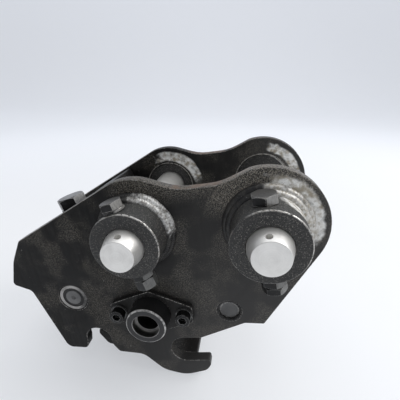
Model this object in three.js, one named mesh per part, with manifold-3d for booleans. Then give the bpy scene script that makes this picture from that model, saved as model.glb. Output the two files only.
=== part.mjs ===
// Screw-clamp quick coupler for a small excavator.
// Millimetres. The outlines are drawn in a plane with the two arm pins level (x forward, z up,
// x = z = 0 on the front arm pin), y runs across the coupler, and the whole assembly is then
// tipped by STAND_TILT so that it stands on its two fixed hooks and the tip of the lock hook.
import * as THREE from "three";
import { mergeVertices } from "three/addons/utils/BufferGeometryUtils.js";
import Module from "manifold-3d";

const wasm = await Module();
wasm.setup();

// ---------------------------------------------------------------- driving dimensions
const PLATE_T = 12; // side plate thickness
const INNER_W = 132.5; // clear width between the side plates
const GAP = 0.3; // assembly gap between touching pieces
const STAND_TILT = THREE.MathUtils.degToRad(6.3);
const BASE_X = 116.161; // moves the middle of the bounding box to x = 0
const BASE_Z = 210.2415; // lifts the lowest point to z = 0

const FRONT_PIN = { x: 0, z: 0, r: 20, half: 135.75, tip: 16, tipLen: 14.5 };
const REAR_PIN = { x: -130.2, z: 0, r: 19, half: 129.85, tip: 15.3, tipLen: 15 };
const FRONT_BOSS = {
  r: 34.7, bore: 20.35, face: 119.75, spigot: 34.7, weld: 8.8, // boss body
  bolt: { r: 7, af: 21, head: 8.8, washer: 0, spot: 13, seat: 33.3, y: 101, tilt: 4, spin: 4 },
  nuts: { full: [0, 12.8, 8], thin: [13.1, 7, 25] }, // start below the seat, height, turn
  hole: 10.6, holeTilt: 3.4, // small cross hole of the pin, beyond the boss face
};
const REAR_BOSS = {
  r: 33.6, bore: 19.3, face: 113.45, spigot: 31.6, weld: 8,
  bolt: { r: 6, af: 19, head: 7.5, washer: 2.5, spot: 11.8, seat: 33, y: 101.6, tilt: 13, spin: 28 },
  nuts: { thin: [0, 6, 20], full: [6.3, 10.8, 9] },
  hole: 9.8, holeTilt: -6,
};
const FRONT_LOBE_R = 57.4;
const REAR_LOBE_R = 54.3;
const SPIGOT_RECESS = 3; // boss end below the inside face of the plate
const PIN_HOLE_R = 2.5; // small cross hole near each pin end


const HOOK_PIVOT = { x: -130.2, z: -100 };
const HOOK_SHAFT = { r: 22, bore: 12, counterbore: 14.5, nearEnd: 105.25, farEnd: 88 };
const FLANGE = { halfLen: 47, rise: 29, endHalf: 10, t: 6, tilt: -2, screwAt: 37.4 };
const CAP_SCREW = { r: 5, head: 8, headLen: 10, key: 8, keyDepth: 5.5, len: 22 };
const HOOK_W = 100; // lock hook width
const FORK_GAP = 44; // between the two lugs of the lock hook's arm
const BUSH = { inner: 22.12, outer: 26, len: 26 };

const TRUNNION = { x: -226, z: -85.8, r: 17.5 };
const SCREW_TILT = THREE.MathUtils.degToRad(12.5);
const SCREW = { r: 11, af: 32, head: 14, top: 102.6, neck: 7, collar: 9, spin: 45 };
const SWIVEL = { drop: 33, r: 13, half: 21.5, pin: 6, pinEnd: 47 };

const CLAW = { x: -207.5, z: -146.5, r: 18 }; // lock hook's grip on the rear bucket pin
const REAR_MOUTH = { x: -207.5, z: -146.5, r: 16 };
const FRONT_MOUTH = { x: -99.5, z: -158.8, r: 17.4, wall: 9.6 };
const CROSS_SHAFT = { x: -43.5, z: -101, r: 13.3, sleeve: 21 };

const Y_IN = INNER_W / 2;
const Y_OUT = Y_IN + PLATE_T;

// ---------------------------------------------------------------- materials
const paint = (roughness = 0.42) =>
  new THREE.MeshStandardMaterial({ color: 0x16171a, roughness, metalness: 0.25 });
const steel = (color = 0xc9ccd0, roughness = 0.25) =>
  new THREE.MeshStandardMaterial({ color, roughness, metalness: 1 });
const bronze = () => new THREE.MeshStandardMaterial({ color: 0xa8803f, roughness: 0.4, metalness: 1 });

// ---------------------------------------------------------------- outline helpers
const deg = THREE.MathUtils.degToRad;
const vec = (x, z) => new THREE.Vector2(x, z);

// points of an arc from a0 to a1 (degrees), both ends included
function arc(cx, cz, r, a0, a1, step = 14) {
  const n = Math.max(2, Math.ceil(Math.abs(a1 - a0) / step));
  return Array.from({ length: n + 1 }, (_, i) => {
    const a = deg(a0 + ((a1 - a0) * i) / n);
    return vec(cx + r * Math.cos(a), cz + r * Math.sin(a));
  });
}

// corner points [x, z, radius] become fillets; Vector2 entries are kept as they are
function outline(items) {
  const pts = [];
  const n = items.length;
  const at = (i) => {
    const p = items[(i + n) % n];
    return p.isVector2 ? p : vec(p[0], p[1]);
  };
  items.forEach((p, i) => {
    if (p.isVector2 || !p[2]) {
      pts.push(at(i));
      return;
    }
    pts.push(...fillet(at(i - 1), at(i), at(i + 1), p[2]));
  });
  return pts;
}

function fillet(before, corner, after, r) {
  const u = before.clone().sub(corner).normalize();
  const v = after.clone().sub(corner).normalize();
  const half = Math.acos(THREE.MathUtils.clamp(u.dot(v), -1, 1)) / 2;
  const reach = Math.min(r / Math.tan(half), 0.48 * before.distanceTo(corner),
    0.48 * after.distanceTo(corner));
  const radius = reach * Math.tan(half);
  const centre = corner.clone().add(u.clone().add(v).normalize().multiplyScalar(radius / Math.sin(half)));
  const p = corner.clone().addScaledVector(u, reach).sub(centre);
  const q = corner.clone().addScaledVector(v, reach).sub(centre);
  const a0 = p.angle();
  let turn = q.angle() - a0;
  if (turn > Math.PI) turn -= 2 * Math.PI;
  if (turn < -Math.PI) turn += 2 * Math.PI;
  const steps = Math.max(2, Math.ceil(Math.abs(turn) / deg(20)));
  return Array.from({ length: steps + 1 }, (_, i) => {
    const a = a0 + (turn * i) / steps;
    return vec(centre.x + radius * Math.cos(a), centre.y + radius * Math.sin(a));
  });
}

// ---------------------------------------------------------------- solids
function toSolid(geometry) {
  const g = geometry.index ? geometry.clone() : geometry;
  g.deleteAttribute("normal");
  g.deleteAttribute("uv");
  const m = mergeVertices(g, 1e-4);
  const position = m.attributes.position.array;
  return new wasm.Manifold(new wasm.Mesh({
    numProp: 3,
    vertProperties: new Float32Array(position),
    triVerts: new Uint32Array(m.index.array),
  }));
}

function toGeometry(solid) {
  const mesh = solid.getMesh();
  const g = new THREE.BufferGeometry();
  g.setAttribute("position", new THREE.BufferAttribute(new Float32Array(mesh.vertProperties), 3));
  g.setIndex(new THREE.BufferAttribute(new Uint32Array(mesh.triVerts), 1));
  g.computeVertexNormals();
  return g;
}

// extrudes an x-z outline from y0 to y1
function slab(points, y0, y1) {
  const g = new THREE.ExtrudeGeometry(new THREE.Shape(points), {
    depth: y1 - y0, bevelEnabled: false, steps: 1,
  });
  g.rotateX(Math.PI / 2);
  g.translate(0, y1, 0);
  return toSolid(g);
}

// turned piece about the y axis at (x, z); profile is [radius, y] pairs
function turned(profile, x, z, segments = 32) {
  const pts = profile.map(([r, y]) => vec(r, y));
  const g = new THREE.LatheGeometry(pts, segments);
  g.translate(x, 0, z);
  return toSolid(g);
}

const rod = (r, y0, y1, x, z, n = 32) => turned([[0, y0], [r, y0], [r, y1], [0, y1]], x, z, n);

function ring(inner, outer, y0, y1, x, z, n = 32) {
  return turned([[inner, y0], [outer, y0], [outer, y1], [inner, y1], [inner, y0]], x, z, n);
}

// turned piece about an axis in the x-z plane, leaning back from vertical by tilt
function leaning(profile, x, y, z, tilt, segments = 20) {
  const pts = profile.map(([r, t]) => vec(r, t));
  const g = new THREE.LatheGeometry(pts, segments);
  g.rotateX(Math.PI / 2);
  g.rotateY(-tilt);
  g.translate(x, y, z);
  return toSolid(g);
}

// hexagonal prism on the same kind of axis, from t0 to t1, with turned-off corners
function hexagon(af, t0, t1, x, y, z, tilt, spin = 0, chamferTop = true, chamferBottom = false) {
  const across = af / Math.sqrt(3);
  const g = new THREE.CylinderGeometry(across, across, t1 - t0, 6, 1);
  g.rotateY(spin);
  g.translate(0, (t0 + t1) / 2, 0);
  const cut = (across - af / 2) * 0.62;
  const a = chamferBottom ? cut : 0;
  const b = chamferTop ? cut : 0;
  const cone = new THREE.LatheGeometry([
    vec(0, t0), vec(across + 0.5 - a * 1.7, t0), vec(across + 0.5, t0 + a),
    vec(across + 0.5, t1 - b), vec(across + 0.5 - b * 1.7, t1), vec(0, t1),
  ], 18);
  for (const piece of [g, cone]) {
    piece.rotateX(Math.PI / 2);
    piece.rotateY(-tilt);
    piece.translate(x, y, z);
  }
  return toSolid(g).intersect(toSolid(cone));
}

// ---------------------------------------------------------------- side plates
function plateOutline() {
  const m = REAR_MOUTH;
  const f = FRONT_MOUTH;
  return outline([
    [-272, -9.1, 7], [-288, -35, 50], [-299.8, -67, 5], [-277.5, -76, 8], [-253.5, -162.6, 10],
    [-226.5, -163, 6],
    ...arc(m.x, m.z, m.r, 186, -8),
    [-190.5, -157, 5], [-184.5, -166.6, 5], [-153.5, -169.4, 16], [-131, -193.5, 26],
    [-104, -200.6, 34], [-76.5, -191, 14], [-71.2, -182, 5], [-72, -174.2, 2.5],
    ...arc(f.x, f.z, f.r, -90, -270),
    [-79.5, -140.6, 12], [-27.5, -117, 6], [-7, -117.4, 2.5],
    ...arc(FRONT_PIN.x, FRONT_PIN.z, FRONT_LOBE_R, -33.1, 104, 8),
    [-42, 43.2, 60], [-84, 41, 60],
    ...arc(REAR_PIN.x, REAR_PIN.z, REAR_LOBE_R, 66, 116.1, 8),
  ]);
}

function sidePlate(side) {
  const y0 = side < 0 ? -Y_OUT : Y_IN;
  const y1 = y0 + PLATE_T;
  const holes = [
    [FRONT_PIN, FRONT_BOSS.spigot + GAP], [REAR_PIN, REAR_BOSS.spigot + GAP],
    [HOOK_PIVOT, HOOK_SHAFT.r + GAP], [TRUNNION, TRUNNION.r + GAP], [CROSS_SHAFT, CROSS_SHAFT.r + GAP],
  ];
  let solid = slab(plateOutline(), y0, y1);
  for (const [c, r] of holes) solid = solid.subtract(rod(r, y0 - 1, y1 + 1, c.x, c.z));
  solid = chamferHole(solid, FRONT_PIN, FRONT_BOSS.spigot + GAP, side, 1);
  if (side < 0) {
    for (const c of screwCentres()) {
      solid = solid.subtract(rod(CAP_SCREW.r + GAP, y0 - 1, y1 + 1, c.x, c.z, 20));
    }
  }
  return solid;
}

// bevel round a hole on the inside face of a plate
function chamferHole(solid, c, r, side, size) {
  const face = side * Y_IN;
  const out = side * 0.5;
  const profile = [[0, face - out], [r + size + 0.5, face - out], [r - 0.05, face + side * (size + 0.05)],
    [0, face + side * (size + 0.05)]];
  if (side < 0) profile.reverse();
  return solid.subtract(turned(profile, c.x, c.z));
}

// ---------------------------------------------------------------- bosses, pins and their bolts
function boss(pin, b, side) {
  const face = b.face;
  const foot = Y_OUT + GAP;
  const inner = Y_IN + SPIGOT_RECESS;
  const profile = [
    [b.bore, inner], [b.spigot, inner], [b.spigot, foot], [b.r + b.weld, foot],
    [b.r + b.weld, foot + 1], [b.r, foot + b.weld + 1], [b.r, face], [b.bore, face], [b.bore, inner],
  ];
  const placed = profile.map(([r, y]) => [r, side * y]);
  if (side < 0) placed.reverse();
  let solid = turned(placed, pin.x, pin.z);
  const { r, spot, seat } = b.bolt;
  const y = side * b.bolt.y;
  const tilt = deg(b.bolt.tilt);
  for (const [t0, t1] of [[seat, 60], [-60, -seat]]) {
    solid = solid.subtract(leaning([[0, t0], [spot, t0], [spot, t1], [0, t1]], pin.x, y, pin.z, tilt, 28));
  }
  const hole = leaning([[0, -60], [r + GAP, -60], [r + GAP, 60], [0, 60]], pin.x, y, pin.z, tilt, 20);
  return solid.subtract(hole);
}

function armPin(pin, b) {
  const { r, half, tip, tipLen } = pin;
  let solid = turned([
    [0, -half], [tip, -half], [r, -half + tipLen], [r, half - tipLen], [tip, half], [0, half],
  ], pin.x, pin.z);
  for (const side of [-1, 1]) {
    const bore = b.bolt.r + GAP;
    const drill = leaning([[0, -40], [bore, -40], [bore, 40], [0, 40]], pin.x, side * b.bolt.y,
      pin.z, deg(b.bolt.tilt), 20);
    const small = leaning([[0, -40], [PIN_HOLE_R, -40], [PIN_HOLE_R, 40], [0, 40]], pin.x,
      side * (b.face + b.hole), pin.z, deg(b.holeTilt), 12);
    solid = solid.subtract(drill).subtract(small);
  }
  return solid;
}

function lockBolt(pin, b, side) {
  const { r, af, head, washer, seat, y, spin } = b.bolt;
  const under = seat + GAP;
  const flat = under + washer;
  const lowest = Object.values(b.nuts).map(([start, height]) => start + height);
  const end = under + Math.max(...lowest) + 1.4;
  const tilt = deg(b.bolt.tilt);
  const profile = [[0, -end], [r - 1, -end], [r, -end + 1], [r, under], [r, flat + 1], [0, flat + 1]];
  if (washer > 0) profile.splice(3, 2, [r, under], [af / 2 + 1, under], [af / 2 + 1, flat], [r, flat + 1]);
  const shank = leaning(profile, pin.x, side * y, pin.z, tilt, 20);
  return shank.add(hexagon(af, flat, flat + head, pin.x, side * y, pin.z, tilt, deg(spin)));
}

function lockNut(pin, b, side, kind) {
  const { r, af, seat, y } = b.bolt;
  const [start, height, spin] = b.nuts[kind];
  const top = -seat - GAP - start;
  const low = top - height;
  const tilt = deg(b.bolt.tilt);
  const hole = leaning([[0, low - 1], [r + GAP, low - 1], [r + GAP, top + 1], [0, top + 1]],
    pin.x, side * y, pin.z, tilt, 16);
  return hexagon(af, low, top, pin.x, side * y, pin.z, tilt, deg(spin), true, true).subtract(hole);
}

// ---------------------------------------------------------------- cross members
function frontSaddle() {
  const { x, z, r, wall } = FRONT_MOUTH;
  const y = Y_IN - GAP;
  const points = outline([
    ...arc(x, z, r, 90, 270), [-89.5, z - r, 1.5], [-89.5, z - r - wall, 3],
    ...arc(x, z, r + wall, 270, 90), [-85, z + r + wall, 3], [-85, z + r, 1.5],
  ]);
  return slab(points, -y, y);
}

// flat bar between the plates; from, to are the two ends of its outer face
function crossPlate(from, to, thickness) {
  const along = to.clone().sub(from).normalize();
  const inward = vec(along.y, -along.x).multiplyScalar(thickness);
  const y = Y_IN - GAP;
  return slab(outline([
    [from.x, from.y, 2], [to.x, to.y, 2],
    [to.x + inward.x, to.y + inward.y, 2], [from.x + inward.x, from.y + inward.y, 2],
  ]), -y, y);
}

function crossShaft() {
  const { x, z, r } = CROSS_SHAFT;
  const e = Y_OUT - 2.2;
  const slope = 4.2;
  return turned([
    [0, -e], [r - slope, -e], [r, -e + 1.6], [r, e - 1.6], [r - slope, e], [0, e],
  ], x, z);
}

function crossSleeve() {
  const { x, z, r, sleeve } = CROSS_SHAFT;
  const y = Y_IN - GAP;
  return ring(r + GAP, sleeve, -y, y, x, z, 32);
}

// ---------------------------------------------------------------- hook shaft and its keeper
function hookShaft() {
  const { r, bore, counterbore, nearEnd, farEnd } = HOOK_SHAFT;
  const { x, z } = HOOK_PIVOT;
  return turned([
    [bore, -nearEnd + 9], [counterbore, -nearEnd + 9], [counterbore, -nearEnd],
    [r - 2, -nearEnd], [r, -nearEnd + 2], [r, farEnd - 2],
    [r - 2, farEnd], [bore, farEnd], [bore, -nearEnd + 9],
  ], x, z, 40);
}

function screwCentres() {
  const t = deg(FLANGE.tilt);
  return [-1, 1].map((s) => ({
    x: HOOK_PIVOT.x + s * FLANGE.screwAt * Math.cos(t),
    z: HOOK_PIVOT.z + s * FLANGE.screwAt * Math.sin(t),
  }));
}

function keeperFlange() {
  const { halfLen, rise, endHalf, t, tilt } = FLANGE;
  const corners = [
    [-halfLen, -endHalf, 4], [0, -rise, 6], [halfLen, -endHalf, 4],
    [halfLen, endHalf, 4], [0, rise, 6], [-halfLen, endHalf, 4],
  ];
  const c = Math.cos(deg(tilt));
  const s = Math.sin(deg(tilt));
  const placed = corners.map(([u, v, r]) =>
    [HOOK_PIVOT.x + u * c - v * s, HOOK_PIVOT.z + u * s + v * c, r]);
  const y1 = -Y_OUT - GAP;
  const y0 = y1 - t;
  let solid = slab(outline(placed), y0, y1);
  solid = solid.subtract(rod(HOOK_SHAFT.r + GAP, y0 - 1, y1 + 1, HOOK_PIVOT.x, HOOK_PIVOT.z));
  for (const p of screwCentres()) {
    solid = solid.subtract(rod(CAP_SCREW.r + GAP, y0 - 1, y1 + 1, p.x, p.z, 20));
  }
  return solid;
}

function capScrew(index) {
  const { r, head, headLen, key, keyDepth, len } = CAP_SCREW;
  const p = screwCentres()[index];
  const under = -Y_OUT - GAP - FLANGE.t - GAP;
  const top = under - headLen;
  const body = turned([
    [0, top], [head - 0.8, top], [head, top + 0.8], [head, under], [r, under],
    [r, under + len - 1], [r - 1, under + len], [0, under + len],
  ], p.x, p.z, 20);
  const socket = new THREE.CylinderGeometry(key / Math.sqrt(3), key / Math.sqrt(3), keyDepth + 1, 6);
  socket.translate(p.x, top + (keyDepth - 1) / 2, p.z);
  return body.subtract(toSolid(socket));
}

function shaftRing() {
  const { x, z } = HOOK_PIVOT;
  return ring(HOOK_SHAFT.r + GAP, HOOK_SHAFT.r + 6, Y_OUT + GAP, Y_OUT + 6, x, z);
}

function hookSpacer(side) {
  const near = HOOK_W / 2 + GAP;
  const far = Y_IN - GAP;
  const [y0, y1] = side < 0 ? [-far, -near] : [near, far];
  return ring(HOOK_SHAFT.r + GAP, 31, y0, y1, HOOK_PIVOT.x, HOOK_PIVOT.z);
}

// ---------------------------------------------------------------- lock hook
const swivelCentre = () => ({
  x: TRUNNION.x + SWIVEL.drop * Math.sin(SCREW_TILT),
  z: TRUNNION.z - SWIVEL.drop * Math.cos(SCREW_TILT),
});

function hookOutline() {
  const p = HOOK_PIVOT;
  const e = swivelCentre();
  return outline([
    ...arc(p.x, p.z, 33, -75, 108, 8),
    [-178, -84, 30],
    ...arc(e.x, e.z, 12.5, 112, 228, 10),
    ...arc(CLAW.x, CLAW.z, CLAW.r, 122, -128, 9),
    [-225, -160.5, 3], [-226.5, -167.5, 5], [-217, -184.5, 9], [-199, -190, 22],
    [-175, -187.5, 12], [-156.5, -152, 22], [-139, -136.5, 14],
  ]);
}

function lockHook() {
  const e = swivelCentre();
  const half = HOOK_W / 2;
  let solid = slab(hookOutline(), -half, half);
  const window = outline([
    [-250, -70, 0], [-186, -60, 0], [-183, -112, 10], [-192, -130, 4], [-208, -134, 0], [-250, -142, 0],
  ]);
  solid = solid.subtract(slab(window, -FORK_GAP / 2, FORK_GAP / 2));
  const t = SCREW_TILT;
  const slotPart = (s) => rod(SWIVEL.pin + 0.4, -half - 1, half + 1,
    e.x + s * Math.cos(t), e.z + s * Math.sin(t), 16);
  for (const s of [-1.6, 0, 1.6]) solid = solid.subtract(slotPart(s));
  return solid.subtract(rod(BUSH.outer + 0.15, -half - 1, half + 1, HOOK_PIVOT.x, HOOK_PIVOT.z, 40));
}

function hookBush(side) {
  const outer = HOOK_W / 2 - 0.5;
  const inner = outer - BUSH.len;
  const [y0, y1] = side < 0 ? [-outer, -inner] : [inner, outer];
  return ring(BUSH.inner, BUSH.outer, y0, y1, HOOK_PIVOT.x, HOOK_PIVOT.z, 40);
}

// ---------------------------------------------------------------- clamp screw
function trunnionBar() {
  const { x, z, r } = TRUNNION;
  const e = Y_OUT - 0.8;
  const body = turned([[0, -e], [r - 2.5, -e], [r, -e + 2.5], [r, e - 2.5], [r - 2.5, e], [0, e]], x, z);
  const drill = turned([[0, -e - 1], [3.6, -e - 1], [0, -e + 4]], x, z, 12);
  const clear = SCREW.r + 0.4;
  const thread = leaning([[0, -30], [clear, -30], [clear, 30], [0, 30]], x, 0, z, SCREW_TILT);
  return body.subtract(drill).subtract(thread);
}

function trunnionCollar(side) {
  const far = Y_IN - 0.6;
  const [y0, y1] = side < 0 ? [-far, -far + 9] : [far - 9, far];
  return ring(TRUNNION.r + GAP, TRUNNION.r + 6, y0, y1, TRUNNION.x, TRUNNION.z);
}

function clampScrew() {
  const { x, z } = TRUNNION;
  const { r, af, head, top, neck, collar, spin } = SCREW;
  const d = SWIVEL.drop;
  const body = leaning([
    [0, -d - 12.6], [collar - 1, -d - 12.6], [collar, -d - 11.6], [collar, -d - 8.6],
    [neck, -d - 8.6], [neck, -d + 13.4], [r, -d + 13.4], [r, top - head + 1], [0, top - head + 1],
  ], x, 0, z, SCREW_TILT);
  const flat = af / 2 + 1;
  const washer = leaning([[0, top - head - 2.2], [flat, top - head - 2.2],
    [flat, top - head + 0.4], [0, top - head + 0.4]], x, 0, z, SCREW_TILT);
  return body.add(washer).add(hexagon(af, top - head, top, x, 0, z, SCREW_TILT, deg(spin)));
}

function swivelBlock() {
  const e = swivelCentre();
  const { half, r, pin, pinEnd } = SWIVEL;
  const body = turned([
    [0, -pinEnd], [pin - 0.8, -pinEnd], [pin, -pinEnd + 0.8], [pin, -half], [r, -half], [r, half],
    [pin, half], [pin, pinEnd - 0.8], [pin - 0.8, pinEnd], [0, pinEnd],
  ], e.x, e.z, 24);
  const { x, z } = TRUNNION;
  const d = SWIVEL.drop;
  const bore = leaning([[0, -d - 30], [SCREW.collar + 0.4, -d - 30], [SCREW.collar + 0.4, -d - 8.2],
    [SCREW.neck + 0.4, -d - 8.2], [SCREW.neck + 0.4, -d + 30], [0, -d + 30]], x, 0, z, SCREW_TILT);
  return body.subtract(bore);
}

// ---------------------------------------------------------------- assembly
const coupler = new THREE.Group();
const assembly = new THREE.Group();
assembly.rotation.y = -STAND_TILT;
assembly.position.set(BASE_X, 0, BASE_Z);
coupler.add(assembly);

function add(name, solid, material) {
  const mesh = new THREE.Mesh(toGeometry(solid), material);
  mesh.name = name;
  assembly.add(mesh);
}

const SIDES = [["near", -1], ["far", 1]];
for (const [label, side] of SIDES) {
  add(`side_plate_${label}`, sidePlate(side), paint(0.4));
  add(`boss_front_${label}`, boss(FRONT_PIN, FRONT_BOSS, side), paint(0.5));
  add(`boss_rear_${label}`, boss(REAR_PIN, REAR_BOSS, side), paint(0.5));
  add(`lock_bolt_front_${label}`, lockBolt(FRONT_PIN, FRONT_BOSS, side), steel(0x8d9095, 0.35));
  add(`lock_bolt_rear_${label}`, lockBolt(REAR_PIN, REAR_BOSS, side), steel(0x8d9095, 0.35));
  add(`lock_nut_front_${label}`, lockNut(FRONT_PIN, FRONT_BOSS, side, "full"), steel(0x8d9095, 0.35));
  add(`lock_nut_rear_${label}`, lockNut(REAR_PIN, REAR_BOSS, side, "full"), steel(0x8d9095, 0.35));
  add(`lock_jam_nut_front_${label}`, lockNut(FRONT_PIN, FRONT_BOSS, side, "thin"), steel(0x8d9095, 0.35));
  add(`lock_jam_nut_rear_${label}`, lockNut(REAR_PIN, REAR_BOSS, side, "thin"), steel(0x8d9095, 0.35));
  add(`hook_spacer_${label}`, hookSpacer(side), steel(0x77797d, 0.45));
  add(`hook_bush_${label}`, hookBush(side), bronze());
  add(`trunnion_collar_${label}`, trunnionCollar(side), steel(0x77797d, 0.45));
}
add("arm_pin_front", armPin(FRONT_PIN, FRONT_BOSS), steel());
add("arm_pin_rear", armPin(REAR_PIN, REAR_BOSS), steel());
add("front_saddle", frontSaddle(), paint());
add("upper_tie_plate", crossPlate(vec(-220.2, 13.0), vec(-186.9, 29.3), 12), paint());
add("rear_cross_plate", crossPlate(vec(-286.6, -66), vec(-270.4, -30.3), 8), paint());
add("cross_shaft", crossShaft(), steel(0x55575b, 0.4));
add("cross_sleeve", crossSleeve(), paint());
add("hook_shaft", hookShaft(), steel(0x9a9da1, 0.35));
add("keeper_flange", keeperFlange(), paint());
add("cap_screw_rear", capScrew(0), steel(0x4a4c50, 0.4));
add("cap_screw_front", capScrew(1), steel(0x4a4c50, 0.4));
add("shaft_ring", shaftRing(), steel(0x55575b, 0.4));
add("lock_hook", lockHook(), paint());
add("trunnion_bar", trunnionBar(), steel(0x77797d, 0.4));
add("swivel_block", swivelBlock(), steel(0x77797d, 0.45));
add("clamp_screw", clampScrew(), steel(0x3a3c40, 0.45));

export default coupler;
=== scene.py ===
"""Screw-clamp quick coupler: fine surfaces, finishes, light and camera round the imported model."""

import math

import bmesh
import bpy
import numpy as np
from mathutils import Matrix, Vector


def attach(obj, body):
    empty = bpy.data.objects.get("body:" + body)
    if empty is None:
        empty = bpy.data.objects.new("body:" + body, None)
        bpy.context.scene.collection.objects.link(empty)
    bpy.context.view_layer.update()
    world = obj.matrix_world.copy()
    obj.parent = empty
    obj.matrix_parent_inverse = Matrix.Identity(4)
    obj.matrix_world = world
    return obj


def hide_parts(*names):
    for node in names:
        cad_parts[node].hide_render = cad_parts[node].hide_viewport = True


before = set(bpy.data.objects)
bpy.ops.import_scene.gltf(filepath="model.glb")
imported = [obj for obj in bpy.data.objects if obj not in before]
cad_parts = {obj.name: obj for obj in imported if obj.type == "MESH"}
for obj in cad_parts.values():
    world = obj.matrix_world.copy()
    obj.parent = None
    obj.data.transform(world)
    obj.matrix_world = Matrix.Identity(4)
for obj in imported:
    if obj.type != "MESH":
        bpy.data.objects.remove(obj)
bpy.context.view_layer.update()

# -------- sizes (mm, arm pins level)
TILT = math.radians(6.3)
BASE = (0.116161, 0.0, 0.2102415)
PLACE = Matrix.Translation(BASE) @ Matrix.Rotation(-TILT, 4, "Y") @ Matrix.Scale(0.001, 4)

Y_IN, Y_OUT, GAP = 66.25, 78.25, 0.3
FRONT = dict(at=(0.0, 0.0), r=20.0, half=135.75, tip=16.0, tip_len=14.5)
REAR = dict(at=(-130.2, 0.0), r=19.0, half=129.85, tip=15.3, tip_len=15.0)
FRONT_BOSS = dict(r=34.7, bore=20.35, face=119.75, spigot=34.7, weld=8.8, hole=10.6,
                  hole_tilt=math.radians(3.4),
                  bolt=dict(r=7.0, af=21.0, head=8.8, washer=0.0, spot=13.0, seat=33.3, y=101.0,
                            tilt=math.radians(4.0), turn=4.0),
                  nuts=dict(full=(0.0, 12.8, 8.0), thin=(13.1, 7.0, 25.0)))
REAR_BOSS = dict(r=33.6, bore=19.3, face=113.45, spigot=31.6, weld=8.0, hole=9.8,
                 hole_tilt=math.radians(-6.0),
                 bolt=dict(r=6.0, af=19.0, head=7.5, washer=2.5, spot=11.8, seat=33.0, y=101.6,
                           tilt=math.radians(13.0), turn=28.0),
                 nuts=dict(thin=(0.0, 6.0, 20.0), full=(6.3, 10.8, 9.0)))
FRONT_LOBE_R, REAR_LOBE_R = 57.4, 54.3
PIVOT = (-130.2, -100.0)
TRUNNION, TRUNNION_R = (-226.0, -85.8), 17.5
CROSS_SHAFT, CROSS_R, SLEEVE_R = (-43.5, -101.0), 13.3, 21.0
CLAW, REAR_MOUTH_R, CLAW_R = (-207.5, -146.5), 16.0, 18.0
FRONT_MOUTH, FRONT_MOUTH_R, SADDLE_R = (-99.5, -158.8), 17.4, 27.0
HOOK_HALF, FORK_HALF = 50.0, 22.0
SHAFT_HOLE, SCREW_HOLE = 22.3, 5.3
FLANGE_T = 6.0
FLANGE_TILT = math.radians(-2)
CAP_SCREW_AT = 37.4
SWIVEL_DROP = 33.0
SCREW_TILT = math.radians(12.5)
SCREW_R, SCREW_PITCH, SCREW_AF, SCREW_TOP = 11.0, 2.5, 32.0, 102.6
BAR_HALF = Y_IN - GAP
SIDES = (("near", -1), ("far", 1))


# -------- outlines
def arc(cx, cz, r, a0, a1, step=4.0):
    n = max(2, math.ceil(abs(a1 - a0) / step))
    angles = [math.radians(a0 + (a1 - a0) * i / n) for i in range(n + 1)]
    return [(cx + r * math.cos(a), cz + r * math.sin(a)) for a in angles]


def outline(items, closed=True, step=8.0):
    """Corners given as (u, v, radius) become fillets; (u, v) points stay as they are."""
    points = []
    n = len(items)
    for i, item in enumerate(items):
        inner = closed or 0 < i < n - 1
        if len(item) == 2 or not item[2] or not inner:
            points.append((item[0], item[1]))
            continue
        corner = Vector(item[:2])
        u = Vector(items[i - 1][:2]) - corner
        v = Vector(items[(i + 1) % n][:2]) - corner
        lu, lv = u.length, v.length
        u.normalize()
        v.normalize()
        half = math.acos(max(-1.0, min(1.0, u.dot(v)))) / 2
        reach = min(item[2] / math.tan(half), 0.48 * lu, 0.48 * lv)
        radius = reach * math.tan(half)
        centre = corner + (u + v).normalized() * (radius / math.sin(half))
        p = corner + u * reach - centre
        q = corner + v * reach - centre
        a0 = math.atan2(p.y, p.x)
        turn = (math.atan2(q.y, q.x) - a0 + math.pi) % (2 * math.pi) - math.pi
        steps = max(2, math.ceil(abs(turn) / math.radians(step)))
        for k in range(steps + 1):
            a = a0 + turn * k / steps
            points.append((centre.x + radius * math.cos(a), centre.y + radius * math.sin(a)))
    clean = [points[0]]
    for p in points[1:]:
        if (Vector(p) - Vector(clean[-1])).length > 0.02:
            clean.append(p)
    if closed and (Vector(clean[0]) - Vector(clean[-1])).length < 0.02:
        clean.pop()
    return clean


def circle(cx, cz, r, n=96):
    angles = [2 * math.pi * i / n for i in range(n)]
    return [(cx + r * math.cos(a), cz + r * math.sin(a)) for a in angles]


# -------- meshes
def across_y(x, z):
    """Turned piece's own Z axis laid along y, centred on (x, z)."""
    return Matrix(((1, 0, 0, x), (0, 0, 1, 0), (0, -1, 0, z), (0, 0, 0, 1)))


def leaning(at, y, tilt):
    """Turned piece's own Z axis leaning back from vertical by tilt, through at."""
    c, s = math.cos(tilt), math.sin(tilt)
    return Matrix(((c, 0, -s, at[0]), (0, 1, 0, y), (s, 0, c, at[1]), (0, 0, 0, 1)))


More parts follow.
